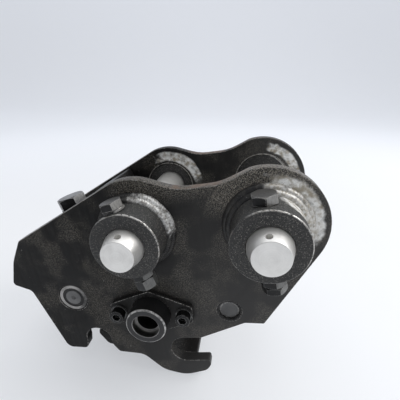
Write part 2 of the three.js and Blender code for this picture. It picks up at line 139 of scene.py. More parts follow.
def spin(profile, segments=128):
    """Vertices, faces and face tags of a turned solid about Z.
    profile holds (radius, height[, tag]) points, from axis to axis or as a closed loop; radius and
    height may be functions of the angle; a tag marks the face band that starts at its point."""
    angles = [2 * math.pi * i / segments for i in range(segments)]
    verts, rings = [], []
    for p in profile:
        radius = [p[0](a) if callable(p[0]) else p[0] for a in angles]
        height = [p[1](a) if callable(p[1]) else p[1] for a in angles]
        if max(radius) < 1e-6:
            rings.append([len(verts)])
            verts.append((0.0, 0.0, height[0]))
            continue
        rings.append(list(range(len(verts), len(verts) + segments)))
        verts += [(r * math.cos(a), r * math.sin(a), h) for r, a, h in zip(radius, angles, height)]
    faces, tags = [], []
    closed = len(rings[0]) > 1
    for k in range(len(rings) if closed else len(rings) - 1):
        a, b = rings[k], rings[(k + 1) % len(rings)]
        tag = profile[k][2] if len(profile[k]) > 2 else 0
        for i in range(segments):
            j = (i + 1) % segments
            if len(a) == 1:
                face = (a[0], b[i], b[j])
            elif len(b) == 1:
                face = (a[i], b[0], a[j])
            else:
                face = (a[i], b[i], b[j], a[j])
            faces.append(face)
            tags.append(tag)
    return verts, faces, tags


def moved(part, matrix):
    verts, faces, tags = part
    return [tuple(matrix @ Vector(v)) for v in verts], faces, tags


def turned(profile, at, segments=128):
    """A (radius, y) profile spun about the y direction through at."""
    return moved(spin(profile, segments), across_y(*at))


def tube(r0, r1, y0, y1, rounds):
    """Closed profile of a tube, with the radii of its four corners."""
    corners = ((r0, y0), (r1, y0), (r1, y1), (r0, y1))
    return outline([(*c, k) for c, k in zip(corners, rounds)], step=20)


def joined(*parts):
    verts, faces, tags = [], [], []
    for v, f, t in parts:
        base = len(verts)
        verts += list(v)
        faces += [tuple(i + base for i in face) for face in f]
        tags += list(t)
    return verts, faces, tags


def slab(outer, holes, y0, y1, bevel=0.7, steps=3):
    """An x-z outline with holes, extruded from y0 to y1 with rounded rims."""
    def signed(points):
        return sum(a[0] * b[1] - b[0] * a[1] for a, b in zip(points, points[1:] + points[:1]))

    curve = bpy.data.curves.new("outline", "CURVE")
    curve.dimensions = "2D"
    curve.fill_mode = "BOTH"
    curve.extrude = (y1 - y0) / 2 - bevel
    curve.bevel_depth = bevel
    curve.bevel_resolution = steps
    curve.offset = -bevel
    for points, way in [(outer, 1)] + [(h, -1) for h in holes]:
        points = list(points) if signed(list(points)) * way > 0 else list(points)[::-1]
        spline = curve.splines.new("POLY")
        spline.points.add(len(points) - 1)
        for target, p in zip(spline.points, points):
            target.co = (p[0], p[1], 0, 1)
        spline.use_cyclic_u = True
    obj = placed("outline", curve)
    mesh = baked(obj)
    bpy.data.objects.remove(obj)
    middle = (y0 + y1) / 2
    verts = [(v.co.x, middle + v.co.z, v.co.y) for v in mesh.vertices]
    faces = [tuple(p.vertices) for p in mesh.polygons]
    bpy.data.meshes.remove(mesh)
    return verts, faces, [0] * len(faces)


def placed(name, data):
    obj = bpy.data.objects.new(name, data)
    bpy.context.scene.collection.objects.link(obj)
    return obj


def baked(obj):
    """A new mesh of obj with its modifiers applied."""
    return bpy.data.meshes.new_from_object(obj.evaluated_get(bpy.context.evaluated_depsgraph_get()))


def to_bmesh(part, merge=0.002):
    verts, faces, tags = part
    bm = bmesh.new()
    made = [bm.verts.new(v) for v in verts]
    for face, tag in zip(faces, tags):
        if len(set(face)) < 3:
            continue
        try:
            f = bm.faces.new([made[i] for i in face])
        except ValueError:
            continue
        f.material_index = tag
    bmesh.ops.remove_doubles(bm, verts=bm.verts, dist=merge)
    bmesh.ops.dissolve_degenerate(bm, edges=bm.edges, dist=merge / 2)
    bmesh.ops.recalc_face_normals(bm, faces=bm.faces)
    return bm


def raw_object(part):
    bm = to_bmesh(part)
    mesh = bpy.data.meshes.new("work")
    bm.to_mesh(mesh)
    bm.free()
    return placed("work", mesh)


def cut(part, *cutters):
    """part with the cutters taken away."""
    obj = raw_object(part)
    tools = [raw_object(c) for c in cutters]
    for tool in tools:
        mod = obj.modifiers.new("cut", "BOOLEAN")
        mod.operation = "DIFFERENCE"
        mod.solver = "EXACT"
        mod.object = tool
    bpy.context.view_layer.update()
    mesh = baked(obj)
    result = ([tuple(v.co) for v in mesh.vertices], [tuple(p.vertices) for p in mesh.polygons],
              [p.material_index for p in mesh.polygons])
    bpy.data.meshes.remove(mesh)
    for o in tools + [obj]:
        data = o.data
        bpy.data.objects.remove(o)
        bpy.data.meshes.remove(data)
    return result


def piece(name, part, body, materials, replaces=(), sharp=28.0):
    """Puts a part into the scene: shaded, placed in the row frame and riding on its body."""
    bm = to_bmesh(part)
    limit = math.radians(sharp)
    for f in bm.faces:
        f.smooth = True
    for e in bm.edges:
        if len(e.link_faces) != 2:
            continue
        a, b = e.link_faces
        level = [abs(f.normal.y) > 0.9998 and f.calc_area() > 4.0 for f in (a, b)]
        if e.calc_face_angle(0.0) > limit or level[0] != level[1] and e.calc_face_angle(0.0) > 0.02:
            e.smooth = False
    mesh = bpy.data.meshes.new(name)
    bm.to_mesh(mesh)
    bm.free()
    mesh.transform(PLACE)
    for m in materials:
        mesh.materials.append(m)
    obj = placed(name, mesh)
    if replaces:
        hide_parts(*replaces)
    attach(obj, body)


def detailed(node, part, body, slot, *looks):
    """The detailed piece that stands in for one CAD node."""
    piece(f"{node}_fine", part, body, list(looks), [node])


def welded(name, part, look):
    piece(f"{name}_weld", part, "frame", [look], sharp=70)


# -------- welds
def wander(n, seed, waves=9, closed=True):
    """Smooth values of about -1 to 1 that join up at the ends."""
    rng = np.random.default_rng(seed)
    t = np.arange(n) / (n if closed else max(1, n - 1)) * 2 * math.pi
    out = np.zeros(n)
    for k in range(1, waves + 1):
        out += rng.normal() / k ** 0.5 * np.cos(k * t + rng.uniform(0, 2 * math.pi))
    return out / (np.abs(out).max() + 1e-9)


def bead(centre, e1, e2, radius, a0, a1, seed, closed=True, pitch=2.3, sides=13, depth=0.085):
    """A rippled weld bead along centre; e1 and e2 span its section, from angle a0 to a1 (degrees)."""
    centre, e1, e2 = (np.asarray(v, float) for v in (centre, e1, e2))
    n = len(centre)
    step = np.linalg.norm(np.roll(centre, -1, 0) - centre, axis=1)
    if not closed:
        step[-1] = 0
    along = np.concatenate([[0], np.cumsum(step)[:-1]])
    total = step.sum()
    count = max(2, round(total / pitch))
    phase = along / total * count
    phase = phase + 0.22 * wander(n, seed, 14, closed)
    size = radius * (1 + 0.06 * wander(n, seed + 1, 12, closed))
    shift = 0.35 * wander(n, seed + 2, 8, closed)
    verts = []
    for k in range(n):
        base = centre[k] + e1[k] * shift[k]
        for i in range(sides):
            a = math.radians(a0 + (a1 - a0) * i / (sides - 1))
            bow = 0.55 * math.cos((i / (sides - 1) - 0.5) * math.pi)
            saw = (phase[k] + bow) % 1.0
            r = size[k] * (1 - depth * (1 - saw) ** 2 + depth * 0.4)
            verts.append(tuple(base + e1[k] * r * math.cos(a) + e2[k] * r * math.sin(a)))
    faces = []
    for k in range(n if closed else n - 1):
        for i in range(sides):
            j = (i + 1) % sides
            m = (k + 1) % n
            faces.append((k * sides + i, k * sides + j, m * sides + j, m * sides + i))
    if not closed:
        faces.append(tuple(range(sides)))
        faces.append(tuple(range((n - 1) * sides, n * sides)))
    return verts, faces, [0] * len(faces)


def ring_bead(at, ring, y, out, radius, a0, a1, seed, **kw):
    """A bead round the y direction through at: ring is its centre radius, out its outward way."""
    n = int(2 * math.pi * ring / 0.42)
    t = np.arange(n) / n * 2 * math.pi
    e1 = np.stack([np.cos(t), 0 * t, np.sin(t)], 1)
    e2 = np.tile([0.0, out, 0.0], (n, 1))
    centre = np.array([at[0], y, at[1]]) + e1 * ring
    return bead(centre, e1, e2, radius, a0, a1, seed, **kw)


def line_bead(p, q, e1, e2, radius, seed):
    """A fillet bead in the corner from p to q between the directions e1 and e2."""
    p, q = np.array(p, float), np.array(q, float)
    n = max(8, int(np.linalg.norm(q - p) / 0.42))
    t = np.linspace(0, 1, n)[:, None]
    centre = p + (q - p) * t
    e1 = np.tile(np.array(e1, float), (n, 1))
    e2 = np.tile(np.array(e2, float), (n, 1))
    ease = np.minimum(1, np.minimum(t, 1 - t) * 14 + 0.35)
    return bead(centre, e1 * ease, e2 * ease, radius, -8, 98, seed, closed=False)


# -------- materials
class Look:
    """A node material that has the drawing's coordinates (mm) ready as P, x, y and z."""

    def __init__(self, name):
        self.mat = bpy.data.materials.new(name)
        self.mat.use_nodes = True
        self.tree = self.mat.node_tree
        self.tree.nodes.clear()
        out = self.node("ShaderNodeOutputMaterial")
        self.bsdf = self.node("ShaderNodeBsdfPrincipled")
        self.link(self.bsdf.outputs[0], out.inputs[0])
        coord = self.node("ShaderNodeTexCoord")
        place = self.node("ShaderNodeMapping", vector_type="TEXTURE")
        place.inputs["Location"].default_value = BASE
        place.inputs["Rotation"].default_value = (0, -TILT, 0)
        place.inputs["Scale"].default_value = (0.001, 0.001, 0.001)
        self.link(coord.outputs["Object"], place.inputs["Vector"])
        self.P = place.outputs[0]
        split = self.node("ShaderNodeSeparateXYZ")
        self.link(self.P, split.inputs[0])
        self.x, self.y, self.z = split.outputs
        facing = self.node("ShaderNodeSeparateXYZ")
        self.link(coord.outputs["Normal"], facing.inputs[0])
        self.nx, self.ny, self.nz = facing.outputs

    def link(self, output, socket):
        self.tree.links.new(output, socket)

    def node(self, kind, **props):
        made = self.tree.nodes.new(kind)
        for key, value in props.items():
            setattr(made, key, value)
        return made

    def feed(self, socket, value):
        if isinstance(value, bpy.types.NodeSocket):
            self.link(value, socket)
        elif value is not None:
            if hasattr(socket.default_value, "__len__") and len(socket.default_value) == 4:
                value = tuple(value)[:3] + (1.0,)
            socket.default_value = value

    def m(self, op, a, b=None, clamp=False):
        made = self.node("ShaderNodeMath", operation=op, use_clamp=clamp)
        for socket, value in zip(made.inputs, (a, b)):
            self.feed(socket, value)
        return made.outputs[0]

    def mul(self, a, b, clamp=False):
        return self.m("MULTIPLY", a, b, clamp)

    def add(self, a, b, clamp=False):
        return self.m("ADD", a, b, clamp)

    def sub(self, a, b):
        return self.m("SUBTRACT", a, b)

    def most(self, a, b):
        return self.m("MAXIMUM", a, b)

    def size(self, a):
        return self.m("ABSOLUTE", a)

    def reach(self, cx, cz):
        """Offsets in x and z from (cx, cz), and the distance."""
        dx, dz = self.sub(self.x, cx), self.sub(self.z, cz)
        return dx, dz, self.m("SQRT", self.add(self.mul(dx, dx), self.mul(dz, dz)))

    def sway(self, value, amount):
        """value, centred on a half, as a change of up to half of amount either way."""
        return self.mul(self.sub(value, 0.5), amount)

    def stretched(self, x, y, z):
        """The coordinates with each axis scaled by its own number."""
        return self.vec(self.mul(self.x, x), self.mul(self.y, y), self.mul(self.z, z))

    def step(self, value, lo, hi, a=0.0, b=1.0):
        made = self.node("ShaderNodeMapRange", interpolation_type="SMOOTHSTEP")
        for socket, v in zip(made.inputs[:5], (value, lo, hi, a, b)):
            self.feed(socket, v)
        return made.outputs[0]

    def vec(self, x, y, z):
        made = self.node("ShaderNodeCombineXYZ")
        for socket, value in zip(made.inputs, (x, y, z)):
            self.feed(socket, value)
        return made.outputs[0]

    def noise(self, scale, detail=3.0, rough=0.55, at=None, bend=0.0):
        made = self.node("ShaderNodeTexNoise")
        self.feed(made.inputs["Vector"], at or self.P)
        made.inputs["Scale"].default_value = scale
        made.inputs["Detail"].default_value = detail
        made.inputs["Roughness"].default_value = rough
        made.inputs["Distortion"].default_value = bend
        return made.outputs["Fac"]

    def cells(self, scale):
        """Distance to the nearest of scattered points, and a random value for each."""
        made = self.node("ShaderNodeTexVoronoi")
        self.feed(made.inputs["Vector"], self.P)
        made.inputs["Scale"].default_value = scale
        split = self.node("ShaderNodeSeparateColor")
        self.link(made.outputs["Color"], split.inputs[0])
        return made.outputs["Distance"], split.outputs[0]

    def mix(self, factor, a, b):
        made = self.node("ShaderNodeMix", data_type="RGBA")
        self.feed(made.inputs[0], factor)
        self.feed(made.inputs[6], a)
        self.feed(made.inputs[7], b)
        return made.outputs[2]

    def blend(self, factor, a, b):
        made = self.node("ShaderNodeMix", data_type="FLOAT")
        self.feed(made.inputs[0], factor)
        self.feed(made.inputs[2], a)
        self.feed(made.inputs[3], b)
        return made.outputs[0]

    def rim(self, radius):
        """0 on open faces, up to 1 on outer edges, within radius mm."""
        soft = self.node("ShaderNodeBevel", samples=6)
        soft.inputs["Radius"].default_value = radius * 0.001
        plain = self.node("ShaderNodeNewGeometry")
        dot = self.node("ShaderNodeVectorMath", operation="DOT_PRODUCT")
        self.link(soft.outputs[0], dot.inputs[0])
        self.link(plain.outputs["Normal"], dot.inputs[1])
        return self.step(dot.outputs["Value"], 0.995, 0.90)

    def band(self):
        """The rounded rims of pieces cut or turned along y."""
        lean = self.size(self.ny)
        return self.mul(self.step(lean, 0.15, 0.38), self.step(lean, 0.985, 0.90))

    def bump(self, height, strength, mm, normal=None):
        made = self.node("ShaderNodeBump")
        made.inputs["Strength"].default_value = strength
        made.inputs["Distance"].default_value = mm * 0.001
        self.feed(made.inputs["Height"], height)
        if normal is not None:
            self.feed(made.inputs["Normal"], normal)
        return made.outputs[0]

    def finish(self, **sockets):
        for name, value in sockets.items():
            self.feed(self.bsdf.inputs[name.replace("_", " ")], value)
        return self.mat

    def sector(self, cx, cz, r0, r1, soft, toward, width):
        """Mask of a ring sector round (cx, cz): radii r0 to r1, centred on the angle toward (degrees)."""
        dx, dz, rho = self.reach(cx, cz)
        inside = self.mul(self.step(rho, r0 - soft, r0 + soft), self.step(rho, r1 + soft, r1 - soft))
        a = math.radians(toward)
        lean = self.add(self.mul(dx, math.cos(a)), self.mul(dz, math.sin(a)))
        lean = self.m("DIVIDE", lean, self.most(rho, 1.0))
        edge = math.cos(math.radians(width))
        return self.mul(inside, self.step(lean, edge - 0.35, edge + 0.25))


OUT_OF_SIGHT = (500.0, 500.0)
BARE = (0.52, 0.51, 0.49)
DUST = (0.13, 0.12, 0.105)
RUST = (0.16, 0.075, 0.035)


def paint(name, base=(0.0055, 0.0054, 0.0055), rough=0.38, rim=1.0, wear=0.5, grit=0.3, highlight_patches=None,
          lines=None, bosses=False, plate=False):
    """Satin black enamel: brushed and dusty, with grit under it, scuffs, chips and bare rims; with painted
    light too: lighter towards the lower right, and pale painted highlight patches.
    """
    k = Look(name)
    broad = k.noise(0.017, 3, 0.5)
    dusty = k.noise(0.055, 5, 0.62)
    fine = k.noise(0.5, 4, 0.6)
    grain = k.noise(2.6, 2, 0.6)
    runs = k.noise(1.0, 3, 0.6, at=k.stretched(0.33, 0.33, 0.016))
    shade = k.add(k.mul(broad, 0.9), k.mul(runs, 1.1))
    colour = k.mix(k.step(shade, 0.75, 1.25), base, tuple(c * 2.2 for c in base))
    haze = k.mul(k.step(dusty, 0.47, 0.72), 0.10)
    colour = k.mix(haze, colour, DUST)
    # painted light: the paint turns lighter towards the lower right, where the floor lights it
    painted_light_lower_right = k.step(k.sub(k.x, k.mul(k.z, 0.5)), -205, 60)
    colour = k.mix(k.mul(painted_light_lower_right, 0.9), colour, (0.055, 0.054, 0.053) if plate else (0.036, 0.035, 0.034))
    if bosses:
        # painted light: boss faces turned along y, and faces turned upward, are painted lighter
        colour = k.mix(k.step(k.size(k.ny), 0.5, 0.9, 0.0, 0.8), colour, (0.050, 0.050, 0.050))
        colour = k.mix(k.step(k.nz, 0.25, 0.95, 0.0, 0.45), colour, (0.055, 0.057, 0.057))

    distance, chance = k.cells(0.85)
    spot = k.mul(k.step(distance, 0.42, 0.16), k.step(chance, 0.50, 0.60))
    where = k.step(k.noise(0.03, 2, 0.5), 0.42, 0.62)
    if bosses:
        where = k.most(where, 0.7)
    if plate:
        lobe = k.mul(k.sector(*FRONT["at"], 34, 62, 4, 98, 56), k.step(k.y, 40, 0))
        top_edge = k.mul(k.step(k.z, 24, 44), k.mul(k.step(k.x, -160, -140), k.step(k.y, 40, 0)))
        where = k.most(k.mul(where, 0.3), k.most(lobe, k.mul(top_edge, 0.6)))
        sand_on = k.mul(where, k.step(k.noise(1.05, 2, 0.8), 0.50, 0.60))
        colour = k.mix(k.mul(sand_on, 0.9), colour, (0.36, 0.325, 0.265))
    if bosses:
        sand_on = k.mul(where, k.step(k.noise(1.15, 2, 0.8), 0.53, 0.63))
        colour = k.mix(k.mul(sand_on, 0.5), colour, (0.17, 0.165, 0.155))
    specks = k.mul(k.mul(spot, where), grit)

    rub_at = k.node("ShaderNodeMapping", vector_type="POINT")
    rub_at.inputs["Rotation"].default_value = (0.0, 0.7, 0.3)
    rub_at.inputs["Scale"].default_value = (0.02, 0.4, 0.55)
    k.link(k.P, rub_at.inputs["Vector"])
    rub_and_lit_side = k.mul(k.step(k.noise(1.0, 5, 0.7, at=rub_at.outputs[0]), 0.66, 0.74),
                 k.step(k.noise(0.022, 2, 0.5), 0.50, 0.62))
    scuffs = k.mul(rub_and_lit_side, 0.35 * wear)

    rims = k.mul(k.most(k.rim(rim), k.mul(k.band(), 0.2 if bosses else 0.8)),
               k.step(fine, 0.42, 0.56))
    rims = k.mul(rims, k.step(k.noise(0.05, 3, 0.6), 0.38, 0.58, 0.35 * wear, 1.5 * wear), clamp=True)
    if plate:
        corner = k.mul(k.step(k.x, -142, -158), k.step(k.z, -34, -12))
        rims = k.most(rims, k.mul(k.mul(corner, k.band()), k.step(fine, 0.25, 0.45)))
    chips = k.mul(k.step(k.noise(0.22, 5, 0.62), 0.70, 0.73), 0.75 * wear)
    bare = k.most(rims, chips)
    # bare lines: worn rims kept to their lit side, partly painted highlight
    if lines:
        for mask in lines(k):
            bare = k.most(bare, k.mul(mask, k.step(fine, 0.36, 0.52)))
    painted_highlight = None
    # painted highlight: pale patches where the key light reflects, on the upper right round the pins
    if highlight_patches:
        cloud = k.noise(0.085, 5, 0.55, bend=0.6)
        for mask, strength in highlight_patches(k):
            part = k.step(k.add(mask, k.sway(cloud, 1.5)), 0.42, 1.05, 0.0, strength)
            part = k.mul(part, k.step(mask, 0.02, 0.3))
            painted_highlight = part if painted_highlight is None else k.most(painted_highlight, part)
        highlight_tint = k.mix(k.step(k.noise(0.12, 4, 0.6), 0.42, 0.66), (0.92, 0.92, 0.90), (0.40, 0.36, 0.29))
        colour = k.mix(painted_highlight, colour, highlight_tint)
    colour = k.mix(specks, colour, (0.42, 0.40, 0.36))
    colour = k.mix(scuffs, colour, (0.12, 0.12, 0.12))
    metal = k.mix(k.step(k.noise(0.3, 4, 0.6), 0.4, 0.7), BARE, (0.30, 0.28, 0.25))
    if plate:
        side = k.sub(1.0, k.size(k.ny))
        edge = k.step(side, 0.4, 0.8)
        strip = k.mul(k.step(k.z, 20, 34), k.mul(k.step(k.x, -112, -84), k.step(k.x, 12, -26)))
        rusty = k.mul(k.mul(edge, strip), k.step(k.noise(0.05, 5, 0.65), 0.42, 0.60))
        colour = k.mix(k.mul(rusty, 0.65), colour, (0.15, 0.10, 0.07))
    colour = k.mix(bare, colour, metal)
    rust = k.mul(k.step(k.noise(0.09, 5, 0.7), 0.60, 0.74), k.most(k.mul(bare, 0.8), 0.04))
    colour = k.mix(rust, colour, RUST)

    gloss = k.add(rough, k.sway(dusty, 0.30))
    gloss = k.add(gloss, k.sway(grain, 0.16))
    gloss = k.add(gloss, k.mul(haze, 1.2), clamp=True)
    gloss = k.blend(bare, gloss, 0.38)
    gloss = k.blend(rust, gloss, 0.8)
    if painted_highlight is not None:
        gloss = k.blend(painted_highlight, gloss, 0.5)
    peel = k.bump(k.noise(0.9, 3, 0.55), 0.16, 0.25)
    sand = k.bump(k.add(k.mul(spot, where), k.mul(grain, 0.35)), 0.35, 0.22, peel)
    if plate:
        across = k.stretched(1.0, 0.02, 1.0)
        lines = k.mul(k.noise(0.75, 3, 0.6, at=across), edge)
        sand = k.bump(lines, 0.8, 0.55, sand)
    relief = k.bump(k.sub(1.0, bare), 0.5, 0.10, sand)
    return k.finish(Base_Color=colour, Metallic=k.mul(bare, 0.9), Roughness=gloss, Normal=relief,
                    IOR=1.5, Specular_IOR_Level=0.13)


def weld_look(name, at, toward=42, width=46, bright=(0.74, 0.74, 0.73), dull=(0.34, 0.325, 0.30)):
    """Weld metal under thin black paint, bare and bright on its upper front side, toward the light: partly
    bare metal, partly painted highlight.
    """
    k = Look(name)
    fine = k.noise(0.8, 4, 0.6)
    mottled = k.noise(0.11, 5, 0.65, bend=0.8)
    # painted highlight: the sector facing the light is made bare bright metal
    lit_side = k.sector(*at, 0, 62, 3, toward, width)
    bare = k.mul(k.step(k.add(lit_side, k.mul(mottled, 1.5)), 1.30, 1.80), 0.95)
    bare = k.most(bare, k.mul(k.step(fine, 0.62, 0.70), 0.3))
    colour = k.mix(k.step(mottled, 0.35, 0.65), (0.010, 0.010, 0.011), (0.036, 0.034, 0.031))
    metal = k.mix(k.step(k.noise(0.35, 4, 0.6), 0.38, 0.66), bright, dull)
    colour = k.mix(bare, colour, metal)
    gloss = k.blend(bare, k.add(0.34, k.mul(fine, 0.25)), k.add(0.34, k.mul(fine, 0.2)))
    return k.finish(Base_Color=colour, Metallic=k.mul(bare, 0.5), Roughness=gloss,
                    Normal=k.bump(fine, 0.4, 0.3), IOR=1.5, Specular_IOR_Level=0.4)


def steel(name, base, rough, centre, dark=None, stain=0.3, metallic=1.0, worn=0.0):
    """Turned steel with fine tool marks round the y axis at centre, handling stains and dull spots."""
    k = Look(name)
    cx, cz = centre
    dx, dz, rho = k.reach(cx, cz)
    marks = k.noise(1.0, 3, 0.7, at=k.vec(k.mul(rho, 2.4), k.mul(k.y, 2.4), 0.0))
    broad = k.noise(1.0, 2, 0.5, at=k.vec(k.mul(rho, 0.35), k.mul(k.y, 0.2), 3.0))
    mottled = k.noise(0.07, 5, 0.6)
    fine = k.noise(0.9, 4, 0.6)
    colour = k.mix(k.step(mottled, 0.35, 0.75), base, dark or tuple(c * 0.72 for c in base))
    colour = k.mix(k.mul(k.step(marks, 0.35, 0.7), 0.18), colour, tuple(c * 0.6 for c in base))
    spots = k.mul(k.step(k.noise(0.4, 5, 0.65), 0.66, 0.74), stain)
    colour = k.mix(spots, colour, (0.09, 0.065, 0.045))
    if worn:
        rims = k.mul(k.band(), k.step(k.noise(0.25, 4, 0.6), 0.34, 0.58, 0.15, worn))
        colour = k.mix(rims, colour, (0.62, 0.61, 0.59))
    gloss = k.add(rough, k.sway(marks, 0.22))
    gloss = k.add(gloss, k.sway(mottled, 0.22))
    gloss = k.add(gloss, k.mul(spots, 0.5), clamp=True)
    height = k.add(k.mul(marks, 0.5), k.mul(fine, 0.12))
    height = k.add(height, k.mul(broad, 0.2))
    round_ = k.vec(k.mul(dz, -1.0), 0.0, dx)
    flow = k.node("ShaderNodeVectorMath", operation="NORMALIZE")
    k.link(round_, flow.inputs[0])
    k.link(flow.outputs[0], k.bsdf.inputs["Tangent"])
    k.bsdf.inputs["Anisotropic"].default_value = 0.55
    return k.finish(Base_Color=colour, Metallic=metallic, Roughness=gloss, Normal=k.bump(height, 0.25, 0.12))


def bolt_look(name, base, rough, worn=(0.6, 0.6, 0.6), metallic=0.9, rub_and_lit_side=0.0):
    """Plated or blackened fastener: mottled, with worn corners and dirt in the grooves; facets turned right
    or up are painted lighter, partly rub streaks, partly painted highlight.
    """
    k = Look(name)
    mottled = k.noise(0.16, 5, 0.6)
    fine = k.noise(1.1, 4, 0.6)
    colour = k.mix(k.step(mottled, 0.36, 0.66), base, tuple(c * 0.5 for c in base))
    if rub_and_lit_side:
        # painted highlight: facets turned right or up take the lighter worn colour, streaked like rubbing
        lit_facets = k.most(k.step(k.nx, 0.35, 0.6), k.step(k.nz, 0.6, 0.9, 0.0, 0.35))
        streaks = k.noise(0.5, 3, 0.6, at=k.stretched(1.6, 1.6, 0.3))
        colour = k.mix(k.mul(lit_facets, k.step(streaks, 0.2, 0.6, 0.5 * rub_and_lit_side, rub_and_lit_side)), colour, worn)
    rims = k.mul(k.rim(0.8), k.step(fine, 0.34, 0.52, 0.35, 1.0))
    colour = k.mix(rims, colour, worn)
    dirt = k.mul(k.step(k.noise(0.35, 4, 0.7), 0.58, 0.72), 0.6)
    colour = k.mix(dirt, colour, (0.05, 0.042, 0.035))
    gloss = k.add(rough, k.sway(mottled, 0.35))
    gloss = k.add(gloss, k.mul(dirt, 0.35), clamp=True)
    height = k.add(k.mul(fine, 0.5), mottled)
    return k.finish(Base_Color=colour, Metallic=k.blend(dirt, metallic, 0.2), Roughness=gloss,
                    Normal=k.bump(height, 0.3, 0.15))


# masks of the pale painted highlight patches, on the upper right round the pins
def near_lobe_highlight(k):
    return [(k.sector(*FRONT["at"], 35, 53, 4, 31, 54), 0.97)]


def far_plate_highlights(k):
    return [(k.sector(*FRONT["at"], 39, 52, 3, 42, 40), 1.0), (k.sector(*REAR["at"], 35, 50, 3, 56, 52), 1.0)]


def boss_highlight(k):
    near = k.step(k.size(k.y), 113, 96)
    return [(k.mul(k.sector(*FRONT["at"], 33, 36, 1, 24, 46), near), 0.8)]


# bare rims of the far plate's holes, kept to their upper half: partly wear, partly painted highlight
def far_plate_rims_worn_and_lit(k):
    inner = k.step(k.size(k.y), Y_IN + 1.4, Y_IN + 0.9)
    front = k.sector(*FRONT["at"], 34.2, 36.4, 0.3, 90, 100)
    rear = k.sector(*REAR["at"], 31.2, 33.2, 0.3, 90, 100)
    return [k.mul(k.most(front, rear), inner)]


def boss_edge_worn_and_lit(k):
    """Worn line along the outer edge of each boss face, on its upper side, where the light falls: partly
    wear, partly painted highlight.
    """
    out = k.size(k.y)
    marks = []
    for pin, b, toward in ((FRONT, FRONT_BOSS, 40), (REAR, REAR_BOSS, 55)):
        ring = k.sector(*pin["at"], b["r"] - 1.1, b["r"] + 1.5, 0.3, toward, 72)
        marks.append(k.mul(ring, k.mul(k.step(out, b["face"] - 1.6, b["face"] - 1.0),
                                               k.step(out, b["face"] + 1, b["face"] - 0.1))))
    return marks


plate_near_look = paint("enamel_plate_near", grit=0.85, plate=True, highlight_patches=near_lobe_highlight, wear=0.6)
plate_far_look = paint("enamel_plate_far", grit=0.6, plate=True, highlight_patches=far_plate_highlights,
                       lines=far_plate_rims_worn_and_lit, wear=0.6)
boss_look = paint("enamel_boss", base=(0.014, 0.014, 0.0145), rough=0.42, grit=0.6, bosses=True, wear=0.75,
                  highlight_patches=boss_highlight, lines=boss_edge_worn_and_lit)
cross_look = paint("enamel_cross", wear=0.4)
flange_look = paint("enamel_flange", base=(0.006, 0.006, 0.0062), wear=1.1, rim=0.8)
hook_look = paint("enamel_hook", wear=0.75, rim=1.3)
boss_weld_looks = {
    "front": weld_look("weld_boss_front", FRONT["at"], 34, 62, (0.66, 0.65, 0.63), (0.40, 0.37, 0.31)),
    "rear": weld_look("weld_boss_rear", REAR["at"]),
}
# the frame welds get their lit sector out of sight, so they carry no painted highlight
dark_weld_look = weld_look("weld_frame", OUT_OF_SIGHT)
pin_looks = {
    tag: steel(f"pin_steel_{tag}", (0.80, 0.79, 0.765), 0.40, pin["at"], dark=(0.70, 0.69, 0.665),
               stain=0.14, metallic=0.75)
    for tag, pin in (("front", FRONT), ("rear", REAR))
}
hook_shaft_look = steel("shaft_steel_hook", (0.035, 0.035, 0.036), 0.36, PIVOT, stain=0.5,
                        metallic=0.5, worn=0.9)
bore_look = steel("shaft_steel_bore", (0.36, 0.355, 0.345), 0.33, PIVOT, stain=0.7)
trunnion_look = steel("shaft_steel_trunnion", (0.15, 0.15, 0.15), 0.42, TRUNNION, metallic=0.5, stain=0.5)
# painted shade: the trunnion bar's face groove is near black, standing in for the shade in it
trunnion_groove_shade_look = steel("shaft_steel_groove_shade", (0.012, 0.012, 0.012), 0.5, TRUNNION, metallic=0.2)
trunnion_rim_look = steel("shaft_steel_trunnion_rim", (0.34, 0.33, 0.32), 0.34, TRUNNION,
                          dark=(0.04, 0.04, 0.04), stain=0.5)
cross_shaft_look = steel("shaft_steel_cross", (0.10, 0.10, 0.10), 0.42, CROSS_SHAFT, metallic=0.5, stain=0.5)
cross_rim_look = steel("shaft_steel_cross_rim", (0.06, 0.06, 0.06), 0.40, CROSS_SHAFT, metallic=0.6, worn=0.9)
spacer_look = steel("spacer_steel", (0.40, 0.40, 0.40), 0.34, PIVOT, stain=0.7)
collar_look = steel("collar_steel", (0.36, 0.36, 0.36), 0.36, TRUNNION, stain=0.7)
bronze_look = steel("bush_bronze", (0.62, 0.40, 0.17), 0.33, PIVOT, dark=(0.35, 0.20, 0.09), stain=0.6)
block_look = steel("swivel_steel", (0.30, 0.30, 0.30), 0.40, (-218.86, -118.0), stain=0.7)
bolt_steel_look = bolt_look("bolt_black", (0.014, 0.014, 0.0145), 0.36, worn=(0.42, 0.41, 0.39),
                            metallic=0.6, rub_and_lit_side=0.8)
nut_steel_look = bolt_look("nut_black", (0.013, 0.013, 0.0135), 0.40, worn=(0.26, 0.26, 0.25),
                           metallic=0.5, rub_and_lit_side=0.6)
cap_screw_look = bolt_look("cap_screw_black", (0.016, 0.016, 0.017), 0.34, worn=(0.45, 0.45, 0.44),
                           metallic=0.6)
clamp_screw_look = bolt_look("clamp_screw_black", (0.02, 0.02, 0.021), 0.34, worn=(0.62, 0.62, 0.62),
                             metallic=0.7, rub_and_lit_side=0.8)


